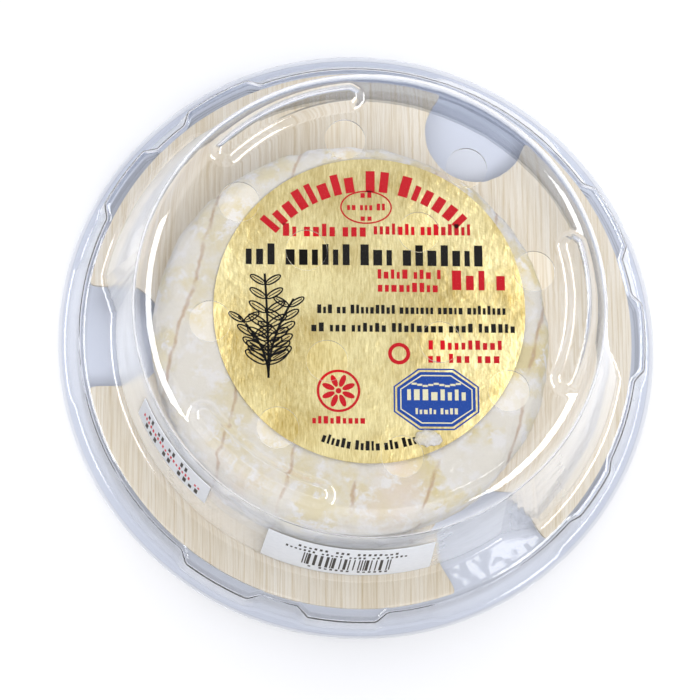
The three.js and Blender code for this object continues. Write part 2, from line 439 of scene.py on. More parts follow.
def finish_piece(piece, finish, node=None):
    """Gives a piece its finish and its body, and hides the CAD node it stands for."""
    piece.data.materials.clear()
    piece.data.materials.append(finish)
    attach(piece, "root")
    if node:
        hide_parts(node)


def per(millimetres):
    """Texture scale for a pattern of this size."""
    return 1 / (millimetres * MM)


def feed(tree, node, inputs):
    """Gives each named socket of a node its value, or links it to the output that feeds it."""
    for key, value in inputs.items():
        if isinstance(value, bpy.types.NodeSocket):
            tree.links.new(value, node.inputs[key])
        else:
            node.inputs[key].default_value = value


def add(tree, kind, inputs=None, **settings):
    """Adds a shader node, with its settings, its socket values and its links."""
    node = tree.nodes.new("ShaderNode" + kind)
    for key, value in settings.items():
        setattr(node, key, value)
    feed(tree, node, inputs or {})
    return node


def new_material(name):
    """A material, its tree, its surface shader and the place on the piece, for its patterns."""
    made = bpy.data.materials.new(name)
    made.use_nodes = True
    tree = made.node_tree
    return made, tree, tree.nodes["Principled BSDF"], add(tree, "TexCoord").outputs["Object"]


def shown(tint):
    return (*tint, 1)


def streaks(tree, place, wide, long, turn, detail):
    """Clouds drawn out to streaks of one width and length, in millimetres, at a turn in degrees."""
    scale = (per(wide), per(long), per(long))
    laid = add(tree, "Mapping", {"Vector": place, "Rotation": (0, 0, math.radians(turn)), "Scale": scale})
    cloud = {"Vector": laid.outputs[0], "Scale": 1, "Detail": detail, "Roughness": 0.6}
    return add(tree, "TexNoise", cloud).outputs[0]


def clear_pet():
    """Amorphous PET, thermoformed: glossy and clear, with a faint white veil where it is seen edge on."""
    made, tree, shader, place = new_material("Clear thermoformed PET")
    waves = add(tree, "TexNoise", {"Vector": place, "Scale": per(14), "Detail": 3}).outputs[0]
    relief = add(tree, "Bump", {"Height": waves, "Strength": 0.13, "Distance": 1.2 * MM}).outputs[0]
    edge_on = add(tree, "LayerWeight", {"Blend": 0.35}).outputs["Facing"]
    veil = add(tree, "MapRange", {"Value": edge_on, "From Min": 0.12, "From Max": 0.75, "To Max": 1})
    look = {
        "Base Color": shown(colours().sheet),
        "Roughness": 0.03,
        "IOR": 1.55,
        "Transmission Weight": 1,
        "Sheen Weight": veil.outputs[0],
        "Sheen Roughness": 0.4,
        "Normal": relief,
    }
    feed(tree, shader, look)
    let_through(tree, shader.outputs[0])
    return made


def let_through(tree, surface):
    """Thin sheet casts no dark shadow: shadow and diffuse rays pass straight through it, dimmed where
    they meet it at a slant, and so do mirrored rays that reach it from the air."""
    path = add(tree, "LightPath")
    odd = add(tree, "Math", {0: path.outputs["Transmission Depth"], 1: 2}, operation="MODULO").outputs[0]
    in_air = add(tree, "Math", {0: 1, 1: odd}, operation="SUBTRACT").outputs[0]
    mirrored = add(tree, "Math", {0: in_air, 1: path.outputs["Is Glossy Ray"]}, operation="MULTIPLY")
    slant = add(tree, "LayerWeight", {"Blend": 0.06}).outputs["Facing"]
    tints = {0: slant, 6: shown(linear("#fcfdff")), 7: (0, 0, 0, 1)}
    passed = add(tree, "Mix", tints, data_type="RGBA").outputs[2]
    through = add(tree, "BsdfTransparent", {"Color": passed}).outputs[0]
    for passing in (path.outputs["Is Shadow Ray"], path.outputs["Is Diffuse Ray"], mirrored.outputs[0]):
        surface = add(tree, "MixShader", {0: passing, 1: surface, 2: through}).outputs[0]
    feed(tree, tree.nodes["Material Output"], {"Surface": surface})


def bloomy_rind():
    """Bloomy goat rind: matt white mould, cream where it is thin, with tan lines from the rack."""
    made, tree, shader, place = new_material("Bloomy goat rind")
    tint = colours()

    def patches(size, low, high, detail=4, rough=0.55):
        cloud = {"Vector": place, "Scale": per(size), "Detail": detail, "Roughness": rough}
        levels = {"Value": add(tree, "TexNoise", cloud).outputs[0], "From Min": low, "From Max": high}
        return add(tree, "MapRange", levels, interpolation_type="SMOOTHSTEP").outputs[0]

    sideways = add(tree, "SeparateXYZ", {0: place}).outputs[0]
    ends = {"Value": sideways, "From Min": -24 * MM, "From Max": 12 * MM, "To Min": 0.6}
    thinner = add(tree, "MapRange", ends).outputs[0]
    thin = add(tree, "Math", {0: patches(10, 0.47, 0.62, 5, 0.6), 1: thinner}, operation="MULTIPLY")
    marks = add(tree, "Math", {0: rack_line(tree, place), 1: patches(6, 0.36, 0.6)}, operation="MULTIPLY")
    faded = add(tree, "Math", {0: marks.outputs[0], 1: 0.62}, operation="MULTIPLY")
    shade = shown(tint.rind)
    for share, above in (
        (thin.outputs[0], tint.cream),
        (patches(21, 0.54, 0.76), tint.blush),
        (patches(4.2, 0.5, 0.62, 6, 0.7), linear("#f0eae1")),
        (faded.outputs[0], tint.mark),
    ):
        shade = add(tree, "Mix", {0: share, 6: shade, 7: shown(above)}, data_type="RGBA").outputs[2]
    fuzz = add(tree, "TexNoise", {"Vector": place, "Scale": per(0.7), "Detail": 6, "Roughness": 0.7})
    relief = add(tree, "Bump", {"Height": fuzz.outputs[0], "Strength": 0.75, "Distance": 0.4 * MM})
    look = {
        "Base Color": shade,
        "Roughness": 0.85,
        "Specular IOR Level": 0.25,
        "Sheen Weight": 0.15,
        "Normal": relief.outputs[0],
    }
    feed(tree, shader, look)
    return made


def rack_line(tree, place):
    """1 along the lines that the draining rack left and 0 beside them; they sway a little."""
    turned = add(tree, "Mapping", {"Vector": place, "Rotation": (0, 0, math.radians(RACK_TURN))})
    across = add(tree, "SeparateXYZ", {0: turned.outputs[0]}).outputs[0]
    cloud = add(tree, "TexNoise", {"Vector": place, "Scale": per(9), "Detail": 5, "Roughness": 0.6})
    sway = {0: cloud.outputs[0], 1: RACK_SWAY * MM, 2: across}
    swayed = add(tree, "Math", sway, operation="MULTIPLY_ADD").outputs[0]
    shift = -(RACK_OFFSET + RACK_SWAY / 2) * MM
    moved = add(tree, "Math", {0: swayed, 1: shift}, operation="ADD").outputs[0]
    gap = cheese_sizes().mark_gap
    nearest = add(tree, "Math", {0: moved, 1: gap / 2, 2: -gap / 2}, operation="WRAP").outputs[0]
    away = add(tree, "Math", {0: nearest}, operation="ABSOLUTE").outputs[0]
    edges = {"Value": away, "From Min": 0.55 * MM, "From Max": 0.1 * MM}
    return add(tree, "MapRange", edges, interpolation_type="SMOOTHSTEP").outputs[0]


def sliced_poplar():
    """Poplar, sliced thin and left bare: pale cream with fine straight fibres."""
    made, tree, shader, place = new_material("Sliced bare poplar")
    tint = colours()

    def fibres(wide, long, turn, low, high):
        drawn = streaks(tree, place, wide, long, turn, 3)
        return add(tree, "MapRange", {"Value": drawn, "From Min": low, "From Max": high}).outputs[0]

    fine = fibres(0.32, 16, 2, 0.42, 0.7)
    broad = fibres(2.2, 60, 2.5, 0.48, 0.75)
    zones = fibres(14, 120, 3, 0.35, 0.7)
    thinned = add(tree, "Math", {0: fine, 1: 0.7}, operation="MULTIPLY").outputs[0]
    summed = add(tree, "Math", {0: broad, 1: 0.25, 2: thinned}, operation="MULTIPLY_ADD").outputs[0]
    fibred = {0: summed, 6: shown(tint.wood), 7: shown(tint.grain)}
    grained = add(tree, "Mix", fibred, data_type="RGBA").outputs[2]
    warmth = {0: zones, 6: grained, 7: shown(linear("#f2e8d2"))}
    warmed = add(tree, "Mix", warmth, data_type="RGBA", blend_type="MULTIPLY").outputs[2]
    shade = add(tree, "Mix", {0: 0.5, 6: grained, 7: warmed}, data_type="RGBA").outputs[2]
    relief = add(tree, "Bump", {"Height": fine, "Strength": 0.35, "Distance": 0.08 * MM}).outputs[0]
    feed(tree, shader, {"Base Color": shade, "Roughness": 0.7, "Normal": relief})
    return made


def brushed_foil():
    """Gold foil on paper, brushed one way: its grain and soft clouds are painted into its colour as bright
    streaks of painted highlight and dark streaks of painted shade.
    """
    made, tree, shader, place = new_material("Brushed gold foil")
    tint = colours()
    brushed = streaks(tree, place, 0.3, 1.9, -4, 4)
    clouds = add(tree, "TexNoise", {"Vector": place, "Scale": per(13), "Detail": 3}).outputs[0]
    mixed = add(tree, "Math", {0: clouds, 1: 1.1, 2: brushed}, operation="MULTIPLY_ADD").outputs[0]
    share = add(tree, "MapRange", {"Value": mixed, "From Min": 0.8, "From Max": 1.4}).outputs[0]
    # Painted highlight and shade: the brushed streaks and clouds mix the bright gold with the painted-shade
    # gold
    painted_golds = {0: share, 6: shown(tint.foil), 7: shown(tint.foil_painted_shade)}
    gold = add(tree, "Mix", painted_golds, data_type="RGBA").outputs[2]
    creases = add(tree, "TexNoise", {"Vector": place, "Scale": per(1.6), "Detail": 4, "Roughness": 0.6})
    fine = add(tree, "Bump", {"Height": creases.outputs[0], "Strength": 0.85, "Distance": 0.28 * MM})
    swell = {"Height": clouds, "Strength": 0.6, "Distance": 1.5 * MM, "Normal": fine.outputs[0]}
    relief = add(tree, "Bump", swell).outputs[0]
    feed(tree, shader, {"Base Color": gold, "Metallic": 0.65, "Roughness": 0.45, "Normal": relief})
    return made


def ink(name, tint, roughness):
    """Offset ink: an even, nearly matt colour with a little mottling."""
    made, tree, shader, place = new_material(name)
    mottle = add(tree, "TexNoise", {"Vector": place, "Scale": per(0.5), "Detail": 4}).outputs[0]
    levels = {"Value": mottle, "From Min": 0.45, "From Max": 0.8, "To Max": 0.15}
    share = add(tree, "MapRange", levels).outputs[0]
    paler = tuple(min(part * 1.5 + 0.04, 1) for part in tint)
    shade = add(tree, "Mix", {0: share, 6: shown(tint), 7: shown(paler)}, data_type="RGBA").outputs[2]
    feed(tree, shader, {"Base Color": shade, "Roughness": roughness, "Specular IOR Level": 0.12})
    return made


def label_paper():
    """Smooth label paper: white, with the faint mottling of its fibres."""
    made, tree, shader, place = new_material("Smooth label paper")
    fibres = add(tree, "TexNoise", {"Vector": place, "Scale": per(0.9), "Detail": 5}).outputs[0]
    levels = {"Value": fibres, "From Min": 0.4, "From Max": 0.75, "To Max": 0.25}
    share = add(tree, "MapRange", levels).outputs[0]
    whites = {0: share, 6: shown(colours().paper), 7: shown(linear("#cfd2da"))}
    shade = add(tree, "Mix", whites, data_type="RGBA").outputs[2]
    relief = add(tree, "Bump", {"Height": fibres, "Strength": 0.1, "Distance": 0.05 * MM}).outputs[0]
    feed(tree, shader, {"Base Color": shade, "Roughness": 0.45, "Normal": relief})
    return made


def pale_card():
    """Matt white board for the floor."""
    made, tree, shader, place = new_material("Matt white board")
    tooth = add(tree, "TexNoise", {"Vector": place, "Scale": per(2), "Detail": 3}).outputs[0]
    relief = add(tree, "Bump", {"Height": tooth, "Strength": 0.05, "Distance": 0.1 * MM}).outputs[0]
    feed(tree, shader, {"Base Color": shown(linear("#f2f2f4")), "Roughness": 0.9, "Normal": relief})
    return made


def shared_material(maker):
    """The material that a maker makes, made once."""
    if maker.__name__ not in bpy.context.scene:
        bpy.context.scene[maker.__name__] = maker().name
    return bpy.data.materials[bpy.context.scene[maker.__name__]]


class PACK_OT_make_lid(bpy.types.Operator):
    """Model the clear domed lid with its ribs, lugs, grips and vents"""

    bl_idname = "pack.make_lid"
    bl_label = "Make lid"

    def execute(self, context):
        s = pack_sizes()
        lid = draw_rings("clear_lid", self.rings(s), s.around)
        self.push_shapes(s)
        self.round_corners(s)
        self.raise_ribs(s)
        leave_edit()
        apply_modifier(lid, "Sheet", "SOLIDIFY", thickness=s.sheet, offset=-1)
        self.cut_vents(lid, s)
        smooth_faces(lid, 38)
        flatten_shading(lid)
        finish_piece(lid, shared_material(clear_pet), "lid")
        return {"FINISHED"}

    def rings(self, s):
        """(radius, height) of each ring, from the lip up over the shoulder and in to the flat top."""
        upright = math.pi / 2 - s.wall_lean
        tilts = [upright * (1 - k / SHOULDER_STEPS) for k in range(SHOULDER_STEPS + 1)]
        step = (s.flat - RIB_INNER_RADIUS * MM) / RIB_RINGS
        return [
            (s.lip, s.lip_top),
            (s.skirt_low, s.lip_top),
            (s.skirt_high, s.skirt_top),
            (s.ledge_out, s.ledge),
            (s.ledge_in, s.ledge),
            (s.foot, s.foot_top),
            *[
                (s.flat + s.shoulder * math.sin(t), s.flat_top - s.shoulder * (1 - math.cos(t)))
                for t in tilts
            ],
            *[(s.flat - step * k, s.flat_top) for k in range(1, RIB_RINGS + 1)],
        ]

    def push_shapes(self, s):
        skirt_low = ring_at(s.lip_top, outside=LIP_SPLIT)
        skirt_high = ring_at(s.skirt_top)
        ledge_out = ring_at(s.ledge, inside=LEDGE_SPLIT)
        ledge_in = ring_at(s.ledge, outside=LEDGE_SPLIT)
        for reach, share, ring in (
            (LUG_REACH_BELOW, lug_share, skirt_low),
            (LUG_REACH, lug_share, skirt_high),
            (LUG_REACH, lug_share, ledge_out),
            (PANEL_REACH, panel_share, skirt_low),
            (TAB_REACH, tab_share, skirt_high),
            (TAB_REACH, tab_share, ledge_out),
            (GRIP_REACH, grip_share, ledge_in),
            (GRIP_REACH, grip_share, ring_at(s.foot_top)),
        ):
            push_out(reach, share, ring)

    def round_corners(self, s):
        for ring, width in (
            (ring_at(s.lip_top, outside=LIP_SPLIT), SOFT_BEND),
            (ring_at(s.skirt_top), BEND),
            (ring_at(s.ledge, inside=LEDGE_SPLIT), BEND),
            (ring_at(s.ledge, outside=LEDGE_SPLIT), BEND),
            (ring_at(s.foot_top), SOFT_BEND),
        ):
            round_ring(ring, width)

    def raise_ribs(self, s):
        def on_crest(point):
            radius, direction, height = place_of(point)
            aside = min(abs(turn_between(centre, direction)) for centre in evenly(RIB_CENTRE, THIRDS))
            past = math.radians(max(aside - RIB_HALF_SPAN, 0)) * RIB_RADIUS
            return height > s.flat_top / MM - NEARBY and math.hypot(radius - RIB_RADIUS, past) < RIB_CREST

        pick(on_crest)
        bpy.ops.transform.translate(
            value=(0, 0, s.rib),
            use_proportional_edit=True,
            proportional_edit_falloff="SMOOTH",
            proportional_size=RIB_FLANK * MM,
        )

    def cut_vents(self, lid, s):
        bpy.ops.mesh.primitive_cylinder_add(vertices=72, radius=s.vent, depth=PUNCH_DEPTH * MM)
        punch = bpy.context.object
        places = [
            (radius * math.cos(math.radians(turn)), radius * math.sin(math.radians(turn)), 0, 1, 1)
            for count, radius, start in VENTS
            for turn in evenly(start, count)
        ]
        punches = copies_of(punch, "punches", places)
        punches.location.z = s.flat_top
        apply_place(punches)
        apply_modifier(lid, "Vents", "BOOLEAN", operation="DIFFERENCE", object=punches, solver="MANIFOLD")
        bpy.data.objects.remove(punches)


class PACK_OT_make_tray(bpy.types.Operator):
    """Model the clear base tray with its lip, lugs and stiffening bead"""

    bl_idname = "pack.make_tray"
    bl_label = "Make tray"

    def execute(self, context):
        s = pack_sizes()
        bead_bottom = s.tray_top - BEAD_DEPTH * MM
        bead = [
            (BEAD_OUTER * MM, s.tray_top),
            ((BEAD_OUTER - BEAD_SLOPE) * MM, bead_bottom),
            ((BEAD_INNER + BEAD_SLOPE) * MM, bead_bottom),
            (BEAD_INNER * MM, s.tray_top),
        ]
        rings = [
            (s.tray_lip, s.sheet),
            (s.tray_wall_low, s.sheet),
            (s.tray_wall_high, s.tray_bend),
            (s.tray_edge, s.tray_top),
            *bead,
            (PLATFORM_FILL * MM, s.tray_top),
        ]
        tray = draw_rings("clear_tray", rings, s.around)
        foot = ring_at(s.sheet, outside=TRAY_LIP_SPLIT)
        bend = ring_at(s.tray_bend, inside=PLATFORM_SPLIT)
        for ring in (foot, bend):
            push_out(TRAY_LUG_REACH, lug_share, ring)
        round_ring(foot, SOFT_BEND)
        round_ring(bend, SHARP_BEND, 2)
        round_ring(ring_at(s.tray_top, inside=PLATFORM_SPLIT), SHARP_BEND, 2)
        for radius, height in bead:
            round_ring(ring_at(height, radius / MM - NEARBY, radius / MM + NEARBY), SOFT_BEND)
        leave_edit()
        apply_modifier(tray, "Sheet", "SOLIDIFY", thickness=s.sheet, offset=-1)
        smooth_faces(tray, 38)
        flatten_shading(tray)
        finish_piece(tray, shared_material(clear_pet), "base_tray")
        return {"FINISHED"}


class PACK_OT_make_plate(bpy.types.Operator):
    """Model the thin wooden plate with its three round bites"""

    bl_idname = "pack.make_plate"
    bl_label = "Make plate"

    def execute(self, context):
        s = cheese_sizes()
        low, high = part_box("wood_plate")
        middle = (low.z + high.z) / 2
        clear_choice()
        bpy.ops.mesh.primitive_cylinder_add(
            vertices=360, radius=s.plate, depth=s.plate_thick, location=(0, 0, middle)
        )
        plate = bpy.context.object
        plate.name = "poplar_plate"
        apply_place(plate)
        cutter = self.bite_cutter(s, middle)
        apply_modifier(plate, "Bites", "BOOLEAN", operation="DIFFERENCE", object=cutter, solver="MANIFOLD")
        bpy.data.objects.remove(cutter)
        self.round_horns(s)
        choose(plate)
        wear = {"width": EDGE_WEAR * MM, "segments": 2, "limit_method": "ANGLE", "angle_limit": 1}
        apply_modifier(plate, "Worn edge", "BEVEL", **wear)
        smooth_faces(plate, 35)
        finish_piece(plate, shared_material(sliced_poplar), "wood_plate")
        return {"FINISHED"}

    def bite_cutter(self, s, middle):
        """A round-ended punch for each bite, joined to one cutter."""
        bpy.ops.mesh.primitive_cylinder_add(vertices=96, radius=s.bite, depth=PUNCH_DEPTH * MM)
        punch = bpy.context.object
        bpy.ops.object.mode_set(mode="EDIT")
        pick(lambda co: co.x > NEARBY * MM)
        bpy.ops.transform.translate(value=(BITE_STRETCH * s.bite, 0, 0))
        leave_edit()
        out = (s.bite_bottom + s.bite) / MM
        places = [
            (out * math.cos(math.radians(turn)), out * math.sin(math.radians(turn)), turn, 1, 1)
            for turn in evenly(BITE_START, THIRDS)
        ]
        cutter = copies_of(punch, "bites", places)
        cutter.location.z = middle
        apply_place(cutter)
        return cutter

    def round_horns(self, s):
        """Rounds the two horns where each bite meets the plate's edge."""
        bpy.ops.object.mode_set(mode="EDIT")

        def at_horn(point):
            radius, direction, _ = place_of(point)
            aside = min(abs(turn_between(turn, direction)) for turn in evenly(BITE_START, THIRDS))
            on_edge = abs(radius - s.plate / MM) < SAME_RING
            return on_edge and abs(math.radians(aside) * radius - s.bite / MM) < HORN_SLACK

        pick(at_horn)
        bpy.ops.mesh.bevel(offset=HORN_ROUND * MM, segments=8, affect="EDGES", clamp_overlap=False)
        leave_edit()


class PACK_OT_make_cheese(bpy.types.Operator):
    """Model the round cheese with its uneven mouldy rind and rack marks"""

    bl_idname = "pack.make_cheese"
    bl_label = "Make cheese"

    def execute(self, context):
        s = cheese_sizes()
        low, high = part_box("cheese")
        middle = (low + high) / 2
        clear_choice()
        bpy.ops.mesh.primitive_cylinder_add(vertices=144, radius=s.radius, depth=s.height, location=middle)
        cheese = bpy.context.object
        cheese.name = "goat_cheese"
        bpy.ops.object.mode_set(mode="EDIT")
        pick(lambda co: co.z > 0)
        bpy.ops.mesh.bevel(offset=s.top_round, segments=8, affect="EDGES")
        pick(lambda co: co.z < -s.height / 2 + NEARBY * MM)
        bpy.ops.mesh.bevel(offset=s.foot_round, segments=6, affect="EDGES")
        leave_edit()
        apply_place(cheese)
        apply_modifier(cheese, "Curd", "REMESH", mode="VOXEL", voxel_size=CURD_GRAIN * MM)
        for relief in RIND_RELIEF:
            self.roughen(cheese, *relief)
        self.press_marks(s, middle)
        self.rest_on_plate(low.z)
        smooth_faces(cheese, 60)
        finish_piece(cheese, shared_material(bloomy_rind), "cheese")
        return {"FINISHED"}

    def roughen(self, cheese, name, size, reach):
        """Moves the rind in and out by a cloud pattern of one size, in millimetres."""
        cloud = bpy.data.textures.new(name, "CLOUDS")
        cloud.noise_scale = size * MM
        cloud.noise_depth = 2
        apply_modifier(cheese, name, "DISPLACE", texture=cloud, strength=reach * MM, mid_level=0.62)

    def press_marks(self, s, middle):
        """Presses the lines of the draining rack into the top."""
        turn = math.radians(RACK_TURN)
        across = Vector((math.cos(turn), -math.sin(turn), 0))
        gap = s.mark_gap / MM
        bpy.ops.object.mode_set(mode="EDIT")
        for width, depth in RACK_PRESSES:

            def near_mark(point):
                along = point.dot(across) / MM - RACK_OFFSET
                return point.z > middle.z and abs((along + gap / 2) % gap - gap / 2) < width

            pick(near_mark)
            bpy.ops.transform.shrink_fatten(value=-depth * MM)
        leave_edit()

    def rest_on_plate(self, height):
        """Flattens what hangs below the plate's top."""
        bpy.ops.object.mode_set(mode="EDIT")
        pick(lambda co: co.z < height)
        bpy.ops.transform.resize(value=(1, 1, 0), center_override=(0, 0, height))
        leave_edit()


class PACK_OT_make_fleck(bpy.types.Operator):
    """Model the small fleck of rind that lies over the label's edge"""

    bl_idname = "pack.make_fleck"
    bl_label = "Make rind fleck"

    def execute(self, context):
        _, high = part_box("gold_label")
        clear_choice()
        x, y, rise = FLECK_PLACE
        bpy.ops.mesh.primitive_ico_sphere_add(
            subdivisions=5, radius=MM, location=(x * MM, y * MM, high.z + rise * MM), scale=FLECK_SHAPE
        )
        fleck = bpy.context.object
        fleck.name = "rind_fleck"
        apply_place(fleck)
        for size, reach in FLECK_CRUMBS:
            cloud = bpy.data.textures.new("Fleck", "CLOUDS")
            cloud.noise_scale = size * MM
            apply_modifier(fleck, "Crumb", "DISPLACE", texture=cloud, strength=reach * MM, mid_level=0.5)
        smooth_faces(fleck, 60)
        finish_piece(fleck, shared_material(bloomy_rind))
        return {"FINISHED"}


class PACK_OT_make_label(bpy.types.Operator):
    """Model the round foil label"""

    bl_idname = "pack.make_label"
    bl_label = "Make label"

    def execute(self, context):
        s = cheese_sizes()
        low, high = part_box("gold_label")
        middle = (low + high) / 2
        clear_choice()
        bpy.ops.mesh.primitive_cylinder_add(
            vertices=240, radius=s.label, depth=high.z - low.z, location=middle
        )
        label = bpy.context.object
        label.name = "foil_label"
        bpy.ops.object.mode_set(mode="EDIT")
        pick(lambda co: co.z > 0)
        bpy.ops.mesh.bevel(offset=LABEL_EDGE * MM, segments=2, affect="EDGES")
        leave_edit()
        apply_place(label)
        smooth_faces(label, 35)
        finish_piece(label, shared_material(brushed_foil), "gold_label")
        return {"FINISHED"}


def letter_blocks(words, wide, high, seed):
    """Plain blocks in rows like words: (offset, width, height) of each, centred on a line of one length."""
    draw = random.Random(seed)
    blocks, end = [], 0.0
    for count in words:
        for _ in range(count):
            block = draw.uniform(0.4, 0.7)
            blocks.append((end + block / 2, block, draw.choice((1.0, 0.74, 0.74))))
            end += block + LETTER_GAP
        end += WORD_GAP
    total = end - LETTER_GAP - WORD_GAP
    share = wide / total
    return [((at - total / 2) * share, block * share, tall * high) for at, block, tall in blocks]


def line_of(words, x, y, wide, high, seed):
    """Places for a straight row of blocks whose feet stand on y."""
    blocks = letter_blocks(words, wide, high, seed)
    return [(x + at, y + tall / 2, 0, block, tall) for at, block, tall in blocks]


def arc_of(words, radius, middle, wide, high, seed, up=1):
    """Places for a row of blocks bent round the label's centre; up is -1 where their feet point outward."""
    places = []
    for at, block, tall in letter_blocks(words, wide, high, seed):
        turn = middle - up * math.degrees(at / radius)
        out = radius + up * (tall - high) / 2
        x, y = out * math.cos(math.radians(turn)), out * math.sin(math.radians(turn))
        places.append((x, y, turn - 90, block, tall))
    return places


def flat_block(name):
    """A flat square of one millimetre, to be copied."""
    clear_choice()
    bpy.ops.mesh.primitive_plane_add(size=MM)
    bpy.context.object.name = name
    return bpy.context.object


def flat_oval(name, x, y, wide, high, line=0.0, turn=0.0, corners=72):
    """A flat oval, or a polygon of a few corners, filled or as an outline of one line width."""
    clear_choice()
    fill = "NOTHING" if line else "NGON"
    half_step = math.pi / corners
    bpy.ops.mesh.primitive_circle_add(
        vertices=corners, radius=1 / math.cos(half_step), fill_type=fill, enter_editmode=True
    )
    bpy.ops.transform.rotate(value=half_step, orient_axis="Z", center_override=(0, 0, 0))
    bpy.ops.transform.resize(value=(wide * MM / 2, high * MM / 2, 1))
    if line:
        bpy.ops.mesh.extrude_region_move()
        bpy.ops.transform.resize(value=(1 - 2 * line / wide, 1 - 2 * line / high, 1))
    leave_edit()
    piece = bpy.context.object
    piece.name = name
    piece.location = (x * MM, y * MM, 0)
    piece.rotation_euler.z = math.radians(turn)
    return piece


def print_piece(name, shapes, centre, height, finish):
    """Joins flat shapes into one thin print on the label."""
    piece = join(shapes, name)
    piece.location = (centre.x, centre.y, height - PRINT_THICK * MM / 5)
    apply_place(piece)
    flip_faces(piece, lambda normal, middle: normal.z < 0)
    apply_modifier(piece, "Ink", "SOLIDIFY", thickness=PRINT_THICK * MM, offset=1)
    finish_piece(piece, finish)
    return piece


def flip_faces(piece, wrong):
    """Turns round each face whose normal and middle fit a rule."""
    choose(piece)
    bpy.ops.object.mode_set(mode="EDIT")
    mesh = bmesh.from_edit_mesh(piece.data)
    for face in mesh.faces:
        face.select = wrong(face.normal, face.calc_center_median())
    bmesh.update_edit_mesh(piece.data)
    bpy.ops.mesh.flip_normals()
    leave_edit()


